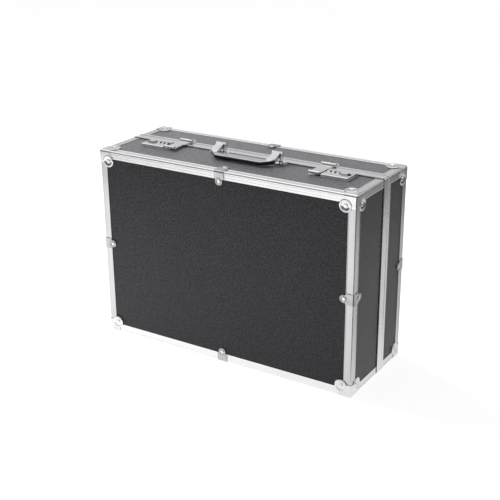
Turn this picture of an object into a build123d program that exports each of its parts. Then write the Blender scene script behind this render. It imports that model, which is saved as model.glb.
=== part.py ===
from build123d import *
import os

# Trading card storage case, standing on its hinge side with the lid closed.
# Millimetres. The origin is the bottom centre, +X runs along the case and
# -Y points to the base shell's face. The lid shell is the +Y half.

os.makedirs("parts", exist_ok=True)

# Overall box, measured over the aluminium edge profiles
case_length = 500.0
case_height = 346.2
case_depth = 184.0
cap_thick = 1.0
corner_radius = 3.0
rivet_head_height = 1.45
dish_depth = 0.7
rivet_proud = rivet_head_height - dish_depth
foot_z = cap_thick + rivet_proud
top_z = foot_z + case_height

# Boards and edge profiles
board_thick = 4.0
profile_thick = 1.2
profile_width = 14.4
ridge_height = 0.4
ridge_width = 1.2
ridge_slope = 0.4
corner_land = 4.2
end_gap = 0.2

# Parting line and rim band
base_rim_y = 1.6
lid_rim_y = 3.4
band_width = 23.4
band_groove_width = 11.0
band_groove_depth = 0.5
band_proud = cap_thick
band_corner_radius = 4.0
rim_lip = 1.5
tongue_thick = 1.2
tongue_foot = 4.8
tongue_reach = 4.0
fit_gap = 0.3

# Hinge strip, sunk in a recess along the bottom edge
hinge_margin = 20.0
hinge_length = case_length - 2 * hinge_margin
hinge_barrel_radius = 2.8
hinge_pin_radius = 1.2
hinge_leaf_width = 11.0
hinge_leaf_thick = 1.0
hinge_recess = 12.0
hinge_sweep_radius = 4.8
hinge_rail_width = 22.0
hinge_rail_thick = 1.5
knuckle_count = 23
knuckle_gap = 0.3
running_gap = 0.05

# Pressed corner caps and edge clips
ear_radius = 11.0
ear_offset = 18.5
ear_dish_radius = 7.4
ear_floor_radius = 4.4
ear_bead_height = 0.7
clip_dish_radius = 4.7
clip_floor_radius = 3.9
clip_bead_height = 0.5
bead_foot = 0.2
cap_leg = 22.0
clip_width = 19.0
clip_wrap = 14.0
tongue_width = 13.5
clip_reach = 24.5
clip_rivet_offset = 17.5
rivet_head_radius = 3.4
rivet_shank_radius = 1.5
hinge_rivet_height = 1.0
hinge_rivet_count = 6
hinge_rivet_pitch = hinge_length / hinge_rivet_count
hinge_rivet_offset = 6.5

# Locks, given for the right-hand one: u is the distance from the case's centre
lock_end_gap = 45.5
lock_length = 72.0
lock_outer_u = case_length / 2 - lock_end_gap
lock_inner_u = lock_outer_u - lock_length
lock_front_y = -34.0
lock_back_y = 1.0
lock_plate_thick = 1.2
lock_plate_radius = 2.0
cover_inset = 23.0
cover_height = 4.0
cover_wall = 1.0
cover_margin = 0.6
cover_bevel = 0.8
dial_radius = 7.0
dial_gap = 3.4
dial_count = 3
dial_y = -13.0
dial_notch_radius = 0.45
dial_notch_count = 20
axle_radius = 1.25
well_inset = 1.8
well_end_gap = 2.0
tray_wall = 0.8
tray_side_gap = 1.6
tray_floor_gap = 0.3
board_cut_gap = 0.4
button_length = 13.0
button_width = 9.0
button_height = 3.0
button_travel = 4.0
button_inset = 14.0
button_y = -16.0
button_gap = 0.5
button_flange = 1.6
button_flange_thick = 1.6
bolt_width = 4.0
bolt_y = -28.0
bolt_overlap = 1.2

# Hasps
hasp_inset = 10.5
hasp_width = 20.0
hasp_thick = 2.4
hasp_tip_y = -31.0
hasp_lip_radius = 2.8
hasp_boss_radius = 3.5
hasp_boss_height = 1.0
hasp_boss_y = -18.0
hasp_pivot_y = 19.0
hasp_barrel_radius = 3.0
hasp_pin_radius = 1.3
hasp_float = 0.4
hasp_side_gap = 0.4
hasp_plate_length = 26.0
hasp_plate_end_y = 34.0
hasp_plate_thick = 1.2
hasp_plate_radius = 3.0
hasp_rivet_spacing = 14.0
hasp_rivet_y = 30.4

# Carrying handle
bracket_u = 56.0
bracket_plate_length = 40.0
bracket_plate_front_y = -9.5
bracket_plate_back_y = 1.0
bracket_plate_thick = 1.5
bracket_plate_radius = 3.0
bracket_inner_width = 15.0
bracket_cheek = 2.0
bracket_boss_radius = 4.0
bracket_boss_height = 3.0
bracket_boss_offset = 15.5
pivot_y = 1.5
pivot_rise = 14.85
hub_radius = 4.65
handle_pin_radius = 2.0
handle_pin_overhang = 0.8
bail_thick = 7.0
bail_lift = 2.1
bail_front_y = -38.5
bail_grip_width = 18.5
bail_front_half = 44.5
bail_arm_width = 14.0
bail_rise_y = -26.0
bail_arm_low = 3.2
bail_bevel = 1.5
bail_under_bevel = 2.5
bail_back_round = 1.0
bail_side_gap = 0.3

# Foam and card lanes
liner_thick = 4.0
floor_pad_thick = 8.0
lid_pad_thick = 25.0
lid_liner_start = 6.0
lane_count = 4
lane_divider_thick = 6.0
lane_divider_drop = 8.0
spacer_thick = 5.0
spacer_drop = 12.0
spacer_x = (-80.0, 80.0)
foam_gap = 0.3

# Derived coordinates
half_length = case_length / 2
half_depth = case_depth / 2
panel_z = top_z - profile_thick
panel_low_z = foot_z + profile_thick
panel_x = half_length - profile_thick
panel_y = half_depth - profile_thick
inner_x = panel_x - board_thick
inner_y = panel_y - board_thick
inner_top_z = panel_z - board_thick
inner_low_z = panel_low_z + board_thick
mid_z = foot_z + case_height / 2
hinge_y = (base_rim_y + lid_rim_y) / 2
hinge_z = inner_low_z - hinge_barrel_radius
band_end_y = lid_rim_y + band_width
band_top_z = top_z + band_proud
board_start_y = lid_rim_y + rim_lip


def span(low, high):
    """Return the middle and the length of a pair of coordinates."""
    return (low + high) / 2, high - low


def board(x_low, x_high, y_low, y_high, z_low, z_high):
    """Return a rectangular solid between three pairs of coordinates."""
    x_mid, x_size = span(x_low, x_high)
    y_mid, y_size = span(y_low, y_high)
    with BuildPart() as slab:
        with BuildSketch(Plane.XY.offset(z_low)):
            with Locations((x_mid, y_mid)):
                Rectangle(x_size, y_size)
        extrude(amount=z_high - z_low)
    return slab.part


def rod(radius, x_low, x_high, y, z):
    """Return a round bar along X."""
    with BuildPart() as bar:
        with BuildSketch(Plane.YZ.offset(x_low)):
            with Locations((y, z)):
                Circle(radius)
        extrude(amount=x_high - x_low)
    return bar.part


def save(part, name):
    """Label one finished piece and write its STEP file."""
    part.label = name
    export_step(part, f"parts/{name}.step")


def angle_profile(corner, along_u, along_v, length):
    """Return a ribbed L profile centred on its corner point.

    The two directions point from the outer corner along the flanges.
    """
    field = profile_width - ridge_width - ridge_slope
    top = [
        (corner_land, 0),
        (corner_land + ridge_slope, ridge_height),
        (field, ridge_height),
        (field + ridge_slope, 0),
        (profile_width - ridge_slope, 0),
        (profile_width, ridge_height),
        (profile_width, profile_thick),
    ]
    side = [(v, u) for u, v in reversed(top)]
    outline = [(0, 0), *top, (profile_thick, profile_thick), *side]
    with BuildPart() as bar:
        with BuildSketch(edge_plane(corner, along_u, along_v)) as section:
            with BuildLine():
                Polyline(*outline, close=True)
            make_face()
            fillet(section.vertices().sort_by_distance((0, 0, 0))[0], corner_radius)
        extrude(amount=length / 2, both=True)
    return bar.part


def face_profiles(side):
    """Return the four long profiles round one large face, by name.

    The side is -1 for the base's face and +1 for the lid's.
    """
    y = side * half_depth
    inward = (0, -side, 0)
    long_run = case_length - 2 * (corner_radius + end_gap)
    tall_run = case_height - 2 * (profile_width + end_gap)
    return {
        "top": angle_profile((0, y, top_z), inward, (0, 0, -1), long_run),
        "bottom": angle_profile((0, y, foot_z), inward, (0, 0, 1), long_run),
        "left": angle_profile((-half_length, y, mid_z), inward, (1, 0, 0), tall_run),
        "right": angle_profile((half_length, y, mid_z), inward, (-1, 0, 0), tall_run),
    }


def depth_profiles(y_low, y_high):
    """Return the four short profiles that run along the depth."""
    y_mid, run = span(y_low, y_high)
    with BuildPart() as bars:
        for x_sign in (-1, 1):
            x = x_sign * half_length
            add(angle_profile((x, y_mid, top_z), (-x_sign, 0, 0), (0, 0, -1), run))
            add(angle_profile((x, y_mid, foot_z), (-x_sign, 0, 0), (0, 0, 1), run))
    return bars.part


def near_corner(edge, level):
    """Tell whether an edge ends at the corner point (level, level, level)."""
    corner = Vector(level, level, level)
    ends = (edge.position_at(0), edge.position_at(1))
    return any((end - corner).length < 0.01 for end in ends)


def rounded_corner_block(level, reach, radius):
    """Return a cube from level to reach with its near corner rounded."""
    middle, size = span(level, reach)
    with BuildPart() as block:
        with Locations((middle, middle, middle)):
            Box(size, size, size)
        fillet(block.edges().filter_by(lambda e: near_corner(e, level)), radius)
    return block.part


def bead(inner_radius, outer_radius, height):
    """Return a domed ring round the Z axis that stands on Z = 0."""
    middle_radius = (inner_radius + outer_radius) / 2
    with BuildPart() as domed_ring:
        with BuildSketch(Plane.XZ):
            with BuildLine():
                ThreePointArc((inner_radius, 0), (middle_radius, height), (outer_radius, 0))
                Polyline(
                    (outer_radius, 0),
                    (outer_radius, -bead_foot),
                    (inner_radius, -bead_foot),
                    (inner_radius, 0),
                )
            make_face()
        revolve(axis=Axis.Z)
    return domed_ring.part


def dish(rim_radius, floor_radius, depth):
    """Return the hollow of a dish sunk from Z = 0 round the Z axis."""
    with BuildPart() as hollow:
        with BuildSketch(Plane.XZ):
            with BuildLine():
                Polyline((0, 0), (rim_radius, 0), (floor_radius, -depth), (0, -depth), close=True)
            make_face()
        revolve(axis=Axis.Z)
    return hollow.part


def corner_cap():
    """Return a three-eared cap for the corner at the origin.

    The case fills the positive octant, and the cap lies round its corner.
    """
    reach = ear_offset + ear_radius + cap_thick
    hidden = profile_width + end_gap
    planes = (Plane.XY, Plane.YZ, Plane.ZX)
    leg_middle, leg_size = span(-cap_thick, cap_leg)
    with BuildPart() as lobes:
        for plane in planes:
            with BuildSketch(plane.offset(-cap_thick)):
                with Locations((leg_middle, leg_middle)):
                    Rectangle(leg_size, leg_size)
                with Locations((ear_offset, ear_offset)):
                    Circle(ear_radius)
            extrude(amount=cap_thick + corner_radius)
    with BuildPart() as cap:
        add(rounded_corner_block(-cap_thick, reach, corner_radius + cap_thick))
        add(rounded_corner_block(0, reach + cap_thick, corner_radius), mode=Mode.SUBTRACT)
        add(lobes.part, mode=Mode.INTERSECT)
        for plane in planes:
            with BuildSketch(plane):
                with Locations((ear_offset, ear_offset)):
                    Circle(ear_radius)
                with Locations((hidden / 2, 0)):
                    Rectangle(hidden, 4 * reach, mode=Mode.SUBTRACT)
                with Locations((0, hidden / 2)):
                    Rectangle(4 * reach, hidden, mode=Mode.SUBTRACT)
            extrude(amount=profile_thick)
        for plane in planes:
            ear_middle = plane.from_local_coords((ear_offset, ear_offset, -cap_thick))
            ear_face = Plane(origin=ear_middle, z_dir=plane.z_dir * -1).location
            add(ear_face * bead(ear_dish_radius, ear_radius, ear_bead_height))
            add(ear_face * dish(ear_dish_radius, ear_floor_radius, dish_depth), mode=Mode.SUBTRACT)
            with BuildSketch(plane.offset(-cap_thick)):
                with Locations((ear_offset, ear_offset)):
                    Circle(rivet_shank_radius)
            extrude(amount=cap_thick + profile_thick, mode=Mode.SUBTRACT)
    return cap.part


def case_corners(side):
    """List the four corners of one large face as points with inward signs."""
    corners = []
    for x_sign in (-1, 1):
        for z, z_in in ((foot_z, 1), (top_z, -1)):
            point = (x_sign * half_length, side * half_depth, z)
            corners.append((point, (-x_sign, -side, z_in)))
    return corners


def placed_cap(cap, point, inward):
    """Return a copy of the cap turned to a corner of the case."""
    turned = cap
    for sign, plane in zip(inward, (Plane.YZ, Plane.XZ, Plane.XY)):
        if sign < 0:
            turned = turned.mirror(plane)
    return Pos(*point) * turned


def edge_clip():
    """Return a clip round an edge along Z, with the case at +X and +Y."""
    round_radius = tongue_width / 2
    hidden = profile_width + end_gap
    middle, size = span(-cap_thick, clip_wrap)
    with BuildSketch() as tongue:
        with Locations((clip_reach - round_radius, 0)):
            Circle(round_radius)
        run_middle, run = span(clip_wrap - cap_thick, clip_reach - round_radius)
        with Locations((run_middle, 0)):
            Rectangle(run, tongue_width)
        with Locations((clip_rivet_offset, 0)):
            Circle(rivet_shank_radius, mode=Mode.SUBTRACT)
    with BuildSketch() as seat:
        add(tongue.sketch)
        with Locations((hidden / 2, 0)):
            Rectangle(hidden, 2 * tongue_width, mode=Mode.SUBTRACT)
    with BuildPart() as clip:
        with BuildSketch() as wrap:
            with Locations((middle, middle)):
                Rectangle(size, size)
            with Locations((clip_wrap, clip_wrap)):
                Rectangle(2 * clip_wrap, 2 * clip_wrap, mode=Mode.SUBTRACT)
            corners = wrap.vertices().sort_by_distance((-cap_thick, -cap_thick, 0))
            fillet(corners[0], corner_radius + cap_thick)
            fillet(wrap.vertices().sort_by_distance((0, 0, 0))[0:1], corner_radius)
        extrude(amount=clip_width / 2, both=True)
        for plane, outward in ((Plane.XZ, 1), (Plane.YZ, -1)):
            with BuildSketch(plane):
                add(tongue.sketch)
            extrude(amount=outward * cap_thick)
            with BuildSketch(plane):
                add(seat.sketch)
            extrude(amount=-outward * profile_thick)
            ear_middle = plane.from_local_coords((clip_rivet_offset, 0, outward * cap_thick))
            ear_face = Plane(origin=ear_middle, z_dir=plane.z_dir * outward).location
            add(ear_face * bead(clip_dish_radius, round_radius - bead_foot, clip_bead_height))
            add(ear_face * dish(clip_dish_radius, clip_floor_radius, dish_depth), mode=Mode.SUBTRACT)
    return clip.part


def clip_places(side):
    """List the clips of one large face as corner points with two directions."""
    y = side * half_depth
    inward = (0, -side, 0)
    return [
        ((0, y, top_z), inward, (0, 0, -1)),
        ((0, y, foot_z), inward, (0, 0, 1)),
        ((-half_length, y, mid_z), inward, (1, 0, 0)),
        ((half_length, y, mid_z), inward, (-1, 0, 0)),
    ]


def edge_plane(corner, along_u, along_v):
    """Return the plane whose X and Y run inward from an outer edge."""
    u_axis = Vector(*along_u)
    return Plane(origin=corner, x_dir=u_axis, z_dir=u_axis.cross(Vector(*along_v)))


def rivet(point, outward, shank, head=rivet_head_height):
    """Return a domed rivet whose head stands outward from a point."""
    plane = Plane(origin=point, z_dir=outward)
    with BuildPart() as part:
        with BuildSketch(plane):
            Circle(rivet_head_radius)
        extrude(amount=head)
        rim = part.edges().sort_by(Axis(point, outward))[-1]
        fillet(rim, head * 0.8)
        with BuildSketch(plane):
            Circle(rivet_shank_radius)
        extrude(amount=-shank)
    return part.part


def cap_rivets(side):
    """Return the rivets of the four corner caps on one shell."""
    lift = cap_thick - dish_depth
    rivets = []
    for point, inward in case_corners(side):
        corner = Vector(*point)
        for axis in range(3):
            offset = [sign * ear_offset for sign in inward]
            offset[axis] = -inward[axis] * lift
            outward = [0, 0, 0]
            outward[axis] = -inward[axis]
            place = corner + Vector(*offset)
            rivets.append(rivet(tuple(place), tuple(outward), lift + profile_thick))
    return rivets


def clip_rivets(side):
    """Return the rivets of the four edge clips on one shell."""
    lift = cap_thick - dish_depth
    rivets = []
    for corner, along_u, along_v in clip_places(side):
        for along, out in ((along_u, along_v), (along_v, along_u)):
            outward = Vector(*out) * -1
            place = Vector(*corner) + Vector(*along) * clip_rivet_offset
            place = place + outward * lift
            rivets.append(rivet(tuple(place), tuple(outward), lift + profile_thick))
    return rivets


def hinge_rivets(side):
    """Return the rivets that hold one leaf of the hinge strip."""
    y = hinge_y + side * hinge_rivet_offset
    z = inner_low_z - hinge_leaf_thick
    first = -hinge_rivet_pitch * (hinge_rivet_count - 1) / 2
    rivets = []
    for i in range(hinge_rivet_count):
        point = (first + i * hinge_rivet_pitch, y, z)
        rivets.append(rivet(point, (0, 0, -1), hinge_leaf_thick, hinge_rivet_height))
    return rivets


def ring(x_half, z_low, z_high, y_low, y_high, radius):
    """Return a solid block with rounded corners, seen along the depth."""
    z_mid, z_size = span(z_low, z_high)
    with BuildPart() as block:
        with BuildSketch(Plane.XZ.offset(-y_low)):
            with Locations((0, z_mid)):
                RectangleRounded(2 * x_half, z_size, radius)
        extrude(amount=y_low - y_high)
    return block.part


# Base shell: boards
cover_low_u = lock_inner_u + cover_inset
button_u = lock_outer_u - button_inset
slot_low_u = button_u - button_length / 2 - button_gap
well_low_u = cover_low_u + well_inset
well_high_u = slot_low_u - well_end_gap
dial_room = well_high_u - well_low_u - 2 * tray_side_gap
dial_width = (dial_room - (dial_count - 1) * dial_gap) / dial_count
dial_pitch = dial_width + dial_gap
dial_first_u = well_low_u + tray_side_gap + dial_width / 2
well_low_y = dial_y - dial_radius - tray_floor_gap
well_high_y = dial_y + dial_radius + tray_floor_gap
dial_z = panel_z
well_low_z = dial_z - dial_radius - tray_floor_gap
tray_low_z = well_low_z - tray_wall
cut_low_u = well_low_u - tray_wall - board_cut_gap
cut_high_u = well_high_u + tray_wall + board_cut_gap
cut_low_y = well_low_y - tray_wall - board_cut_gap
cut_high_y = well_high_y + tray_wall + board_cut_gap
lock_cuts = [
    board(low, high, cut_low_y, cut_high_y, tray_low_z - board_cut_gap, panel_z)
    for low, high in ((cut_low_u, cut_high_u), (-cut_high_u, -cut_low_u))
]
hinge_sweep = rod(hinge_sweep_radius, -case_length, case_length, hinge_y, hinge_z)

with BuildPart() as base_face_board:
    add(board(-panel_x, panel_x, -panel_y, -inner_y, panel_low_z, panel_z))
save(base_face_board.part, "base_face_board")

with BuildPart() as base_top_board:
    add(board(-panel_x, panel_x, -inner_y, base_rim_y, inner_top_z, panel_z))
    add(lock_cuts, mode=Mode.SUBTRACT)
save(base_top_board.part, "base_top_board")

with BuildPart() as base_bottom_board:
    hinge_edge_y = hinge_y - hinge_recess
    add(board(-panel_x, panel_x, -inner_y, hinge_edge_y, panel_low_z, inner_low_z))
save(base_bottom_board.part, "base_bottom_board")

for name, x_low, x_high in (("left", -panel_x, -inner_x), ("right", inner_x, panel_x)):
    with BuildPart() as base_end_board:
        add(board(x_low, x_high, -inner_y, base_rim_y, inner_low_z, inner_top_z))
        add(hinge_sweep, mode=Mode.SUBTRACT)
    save(base_end_board.part, f"base_{name}_board")

# Base shell: aluminium edging and rim
for name, bar in face_profiles(-1).items():
    save(bar, f"base_{name}_profile")

with BuildPart() as base_depth_profiles:
    add(depth_profiles(-half_depth + profile_width + end_gap, base_rim_y))
    add(hinge_sweep, mode=Mode.SUBTRACT)
save(base_depth_profiles.part, "base_depth_profiles")

with BuildPart() as base_rim_tongue:
    foot_y = base_rim_y - tongue_foot
    tip_y = lid_rim_y + tongue_reach
    tongue_outer_x = inner_x - fit_gap
    tongue_inner_x = tongue_outer_x - tongue_thick
    tongue_outer_z = inner_top_z - fit_gap
    tongue_inner_z = tongue_outer_z - tongue_thick
    side_low_z = inner_low_z + hinge_rail_thick + 2 * cap_thick
    side_high_z = tongue_inner_z - end_gap
    add(board(-inner_x, inner_x, foot_y, base_rim_y, tongue_inner_z, inner_top_z))
    add(board(-tongue_outer_x, tongue_outer_x, foot_y, tip_y, tongue_inner_z, tongue_outer_z))
    for x_sign in (-1, 1):
        foot_x = sorted((x_sign * tongue_inner_x, x_sign * inner_x))
        tip_x = sorted((x_sign * tongue_inner_x, x_sign * tongue_outer_x))
        add(board(*foot_x, foot_y, base_rim_y, side_low_z, side_high_z))
        add(board(*tip_x, foot_y, tip_y, side_low_z, side_high_z))
save(base_rim_tongue.part, "base_rim_tongue")

# Lid shell: boards, edging and rim band
lid_hinge_edge_y = hinge_y + hinge_recess

with BuildPart() as lid_face_board:
    add(board(-panel_x, panel_x, inner_y, panel_y, panel_low_z, panel_z))
save(lid_face_board.part, "lid_face_board")

with BuildPart() as lid_top_board:
    add(board(-panel_x, panel_x, board_start_y, inner_y, inner_top_z, panel_z))
save(lid_top_board.part, "lid_top_board")

with BuildPart() as lid_bottom_board:
    add(board(-panel_x, panel_x, lid_hinge_edge_y, inner_y, panel_low_z, inner_low_z))
save(lid_bottom_board.part, "lid_bottom_board")

for name, x_low, x_high in (("left", -panel_x, -inner_x), ("right", inner_x, panel_x)):
    with BuildPart() as lid_end_board:
        add(board(x_low, x_high, board_start_y, inner_y, inner_low_z, inner_top_z))
    save(lid_end_board.part, f"lid_{name}_board")

for name, bar in face_profiles(1).items():
    save(bar, f"lid_{name}_profile")

with BuildPart() as lid_depth_profiles:
    profile_end_y = half_depth - profile_width - end_gap
    add(depth_profiles(band_end_y + end_gap, profile_end_y))
save(lid_depth_profiles.part, "lid_depth_profiles")

with BuildPart() as lid_rim_band:
    band_x = half_length + band_proud
    band_low_z = foot_z - band_proud
    groove_low_y = lid_rim_y + (band_width - band_groove_width) / 2
    groove_high_y = groove_low_y + band_groove_width
    depth = band_groove_depth
    add(ring(band_x, band_low_z, band_top_z, lid_rim_y, band_end_y, band_corner_radius))
    with BuildPart(mode=Mode.PRIVATE) as groove:
        add(ring(band_x, band_low_z, band_top_z, groove_low_y, groove_high_y, band_corner_radius))
        add(
            ring(
                band_x - depth,
                band_low_z + depth,
                band_top_z - depth,
                groove_low_y,
                groove_high_y,
                band_corner_radius - depth,
            ),
            mode=Mode.SUBTRACT,
        )
    add(groove.part, mode=Mode.SUBTRACT)
    add(
        board(-panel_x, panel_x, board_start_y, band_end_y, panel_low_z, panel_z),
        mode=Mode.SUBTRACT,
    )
    add(
        board(-inner_x, inner_x, lid_rim_y, band_end_y, inner_low_z, inner_top_z),
        mode=Mode.SUBTRACT,
    )
    recess_x = half_length - profile_width
    add(
        board(-recess_x, recess_x, lid_rim_y, lid_hinge_edge_y, band_low_z, inner_low_z),
        mode=Mode.SUBTRACT,
    )
    for x_sign in (-1, 1):
        for z_sign, z in ((-1, foot_z), (1, top_z)):
            with BuildSketch(Plane.XZ.offset(-lid_rim_y)):
                with Locations((x_sign * half_length, z)):
                    Rectangle(profile_width * 2, end_gap, rotation=45 * x_sign * z_sign)
            extrude(amount=-band_width, mode=Mode.SUBTRACT)
save(lid_rim_band.part, "lid_rim_band")

# Pressed corner caps, edge clips and rivets
cap = corner_cap()
clip = edge_clip()

for shell, side in (("base", -1), ("lid", 1)):
    with BuildPart() as corner_caps:
        add([placed_cap(cap, point, inward) for point, inward in case_corners(side)])
    save(corner_caps.part, f"{shell}_corner_caps")

    with BuildPart() as edge_clips:
        add([Location(edge_plane(*place)) * clip for place in clip_places(side)])
    save(edge_clips.part, f"{shell}_edge_clips")

# Hinge strip
hinge_half = hinge_length / 2
knuckle_pitch = hinge_length / knuckle_count
leaf_top_z = inner_low_z
leaf_low_z = leaf_top_z - hinge_leaf_thick
knuckle_clear = hinge_barrel_radius + knuckle_gap


def hinge_leaf(side, first_knuckle):
    """Return one leaf of the hinge strip with every second knuckle."""
    plate_y = sorted((hinge_y + side * hinge_leaf_width, hinge_y + side * knuckle_clear))
    tab_y = sorted((hinge_y + side * knuckle_clear, hinge_y))
    with BuildPart() as leaf:
        add(board(-hinge_half, hinge_half, *plate_y, leaf_low_z, leaf_top_z))
        for i in range(first_knuckle, knuckle_count, 2):
            x_low = -hinge_half + i * knuckle_pitch + knuckle_gap / 2
            x_high = x_low + knuckle_pitch - knuckle_gap
            add(board(x_low, x_high, *tab_y, leaf_low_z, leaf_top_z))
            add(rod(hinge_barrel_radius, x_low, x_high, hinge_y, hinge_z))
        bore = hinge_pin_radius + running_gap
        add(rod(bore, -hinge_half, hinge_half, hinge_y, hinge_z), mode=Mode.SUBTRACT)
        for i in range(hinge_rivet_count):
            x = (i - (hinge_rivet_count - 1) / 2) * hinge_rivet_pitch
            with BuildSketch(Plane.XY.offset(leaf_low_z)):
                with Locations((x, hinge_y + side * hinge_rivet_offset)):
                    Circle(rivet_shank_radius)
            extrude(amount=hinge_leaf_thick, mode=Mode.SUBTRACT)
    return leaf.part


save(hinge_leaf(-1, 0), "hinge_base_leaf")
save(hinge_leaf(1, 1), "hinge_lid_leaf")
save(rod(hinge_pin_radius, -hinge_half, hinge_half, hinge_y, hinge_z), "hinge_pin")

rail_high_z = inner_low_z + hinge_rail_thick
base_rail_y = base_rim_y - hinge_rail_width
lid_rail_y = lid_rim_y + hinge_rail_width
with BuildPart() as base_hinge_rail:
    add(board(-inner_x, inner_x, base_rail_y, base_rim_y, inner_low_z, rail_high_z))
save(base_hinge_rail.part, "base_hinge_rail")
with BuildPart() as lid_hinge_rail:
    add(board(-inner_x, inner_x, board_start_y, lid_rail_y, inner_low_z, rail_high_z))
save(lid_hinge_rail.part, "lid_hinge_rail")

# Locks, drawn on the right and mirrored for the left
plate_top_z = panel_z + lock_plate_thick
cover_top_z = plate_top_z + cover_height
cover_under_z = cover_top_z - cover_wall
cover_high_u = lock_outer_u - cover_margin
cover_low_y = lock_front_y + cover_margin
cover_high_y = lock_back_y - cover_margin
flange_low_u = button_u - button_length / 2 - button_flange
flange_high_u = button_u + button_length / 2 + button_flange
flange_low_y = button_y - button_width / 2 - button_flange
flange_high_y = button_y + button_width / 2 + button_flange
flange_low_z = plate_top_z + fit_gap
flange_top_z = flange_low_z + button_flange_thick
bolt_low_y = bolt_y - bolt_width / 2
bolt_high_y = bolt_y + bolt_width / 2

with BuildPart() as lock_plate:
    x_mid, x_size = span(lock_inner_u, lock_outer_u)
    y_mid, y_size = span(lock_front_y, lock_back_y)
    with BuildSketch(Plane.XY.offset(panel_z)):
        with Locations((x_mid, y_mid)):
            RectangleRounded(x_size, y_size, lock_plate_radius)
    extrude(amount=lock_plate_thick)
    wall = tray_wall
    tray_u = (well_low_u - wall, well_high_u + wall)
    tray_y = (well_low_y - wall, well_high_y + wall)
    add(board(*tray_u, *tray_y, tray_low_z, panel_z))
    add(
        board(well_low_u, well_high_u, well_low_y, well_high_y, well_low_z, plate_top_z),
        mode=Mode.SUBTRACT,
    )
    add(rod(axle_radius, *tray_u, dial_y, dial_z), mode=Mode.SUBTRACT)

with BuildPart() as lock_cover:
    add(board(cover_low_u, cover_high_u, cover_low_y, cover_high_y, plate_top_z, cover_top_z))
    chamfer(lock_cover.faces().sort_by(Axis.Z)[-1].edges(), cover_bevel)
    add(
        board(
            cover_low_u + cover_wall,
            cover_high_u - cover_wall,
            cover_low_y + cover_wall,
            cover_high_y - cover_wall,
            plate_top_z,
            cover_under_z,
        ),
        mode=Mode.SUBTRACT,
    )
    window_half = (dial_radius**2 - (cover_under_z - dial_z) ** 2) ** 0.5 + fit_gap * 2
    with BuildSketch(Plane.XY.offset(cover_under_z)):
        window_middle, window_length = span(well_low_u, well_high_u)
        with Locations((window_middle, dial_y)):
            Rectangle(window_length, 2 * window_half)
        with Locations((button_u + button_travel / 2, button_y)):
            slot_length = button_length + button_travel + 2 * button_gap
            Rectangle(slot_length, button_width + 2 * button_gap)
    extrude(amount=cover_wall, mode=Mode.SUBTRACT)
    add(
        board(
            cover_low_u,
            cover_low_u + cover_wall,
            bolt_low_y - button_gap,
            bolt_high_y + button_gap,
            plate_top_z,
            flange_top_z + fit_gap,
        ),
        mode=Mode.SUBTRACT,
    )

with BuildPart() as dial_axle:
    add(rod(axle_radius, *tray_u, dial_y, dial_z))

with BuildPart() as slide_button:
    add(board(flange_low_u, flange_high_u, flange_low_y, flange_high_y, flange_low_z, flange_top_z))
    bolt_root_u = flange_low_u + bolt_width
    bolt_tip_u = cover_low_u - bolt_overlap
    add(board(bolt_tip_u, bolt_root_u, bolt_low_y, bolt_high_y, flange_low_z, flange_top_z))
    add(board(flange_low_u, bolt_root_u, bolt_low_y, button_y, flange_low_z, flange_top_z))
    with BuildSketch(Plane.XY.offset(flange_top_z)):
        with Locations((button_u, button_y)):
            Rectangle(button_length, button_width)
    extrude(amount=cover_top_z + button_height - flange_top_z)
    fillet(slide_button.faces().sort_by(Axis.Z)[-1].edges(), cover_bevel)

dials = []
for i in range(dial_count):
    dial_u = dial_first_u + i * dial_pitch
    with BuildPart() as dial:
        with BuildSketch(Plane.YZ.offset(dial_u - dial_width / 2)):
            with Locations((dial_y, dial_z)):
                Circle(dial_radius)
                Circle(axle_radius + running_gap, mode=Mode.SUBTRACT)
                with PolarLocations(dial_radius, dial_notch_count):
                    Circle(dial_notch_radius, mode=Mode.SUBTRACT)
        extrude(amount=dial_width)
    dials.append(dial.part)

# Hasps
strap_low_z = band_top_z + hasp_float
strap_top_z = strap_low_z + hasp_thick
hasp_pivot_z = band_top_z + fit_gap + hasp_barrel_radius
hasp_u = lock_inner_u + hasp_inset
hasp_low_u = hasp_u - hasp_width / 2
hasp_high_u = hasp_u + hasp_width / 2
hasp_plate_low_u = hasp_u - hasp_plate_length / 2
hasp_plate_high_u = hasp_u + hasp_plate_length / 2
hasp_leaf_y = hasp_pivot_y + hasp_barrel_radius + 2 * fit_gap
hasp_leaf_top_z = band_top_z + hasp_plate_thick
hasp_bore = hasp_pin_radius + running_gap

with BuildPart() as hasp:
    lip_z = strap_low_z + hasp_lip_radius
    add(board(hasp_low_u, hasp_high_u, hasp_tip_y, hasp_pivot_y, strap_low_z, strap_top_z))
    add(rod(hasp_lip_radius, hasp_low_u, hasp_high_u, hasp_tip_y, lip_z))
    add(rod(hasp_barrel_radius, hasp_low_u, hasp_high_u, hasp_pivot_y, hasp_pivot_z))
    add(rod(hasp_bore, hasp_low_u, hasp_high_u, hasp_pivot_y, hasp_pivot_z), mode=Mode.SUBTRACT)
    with BuildSketch(Plane.XY.offset(strap_low_z - hasp_boss_height)):
        with Locations((hasp_u, hasp_boss_y)):
            Circle(hasp_boss_radius)
    extrude(amount=hasp_boss_height)

hasp_rivet_points = [
    (hasp_u + sign * hasp_rivet_spacing / 2, hasp_rivet_y) for sign in (-1, 1)
]

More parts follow.
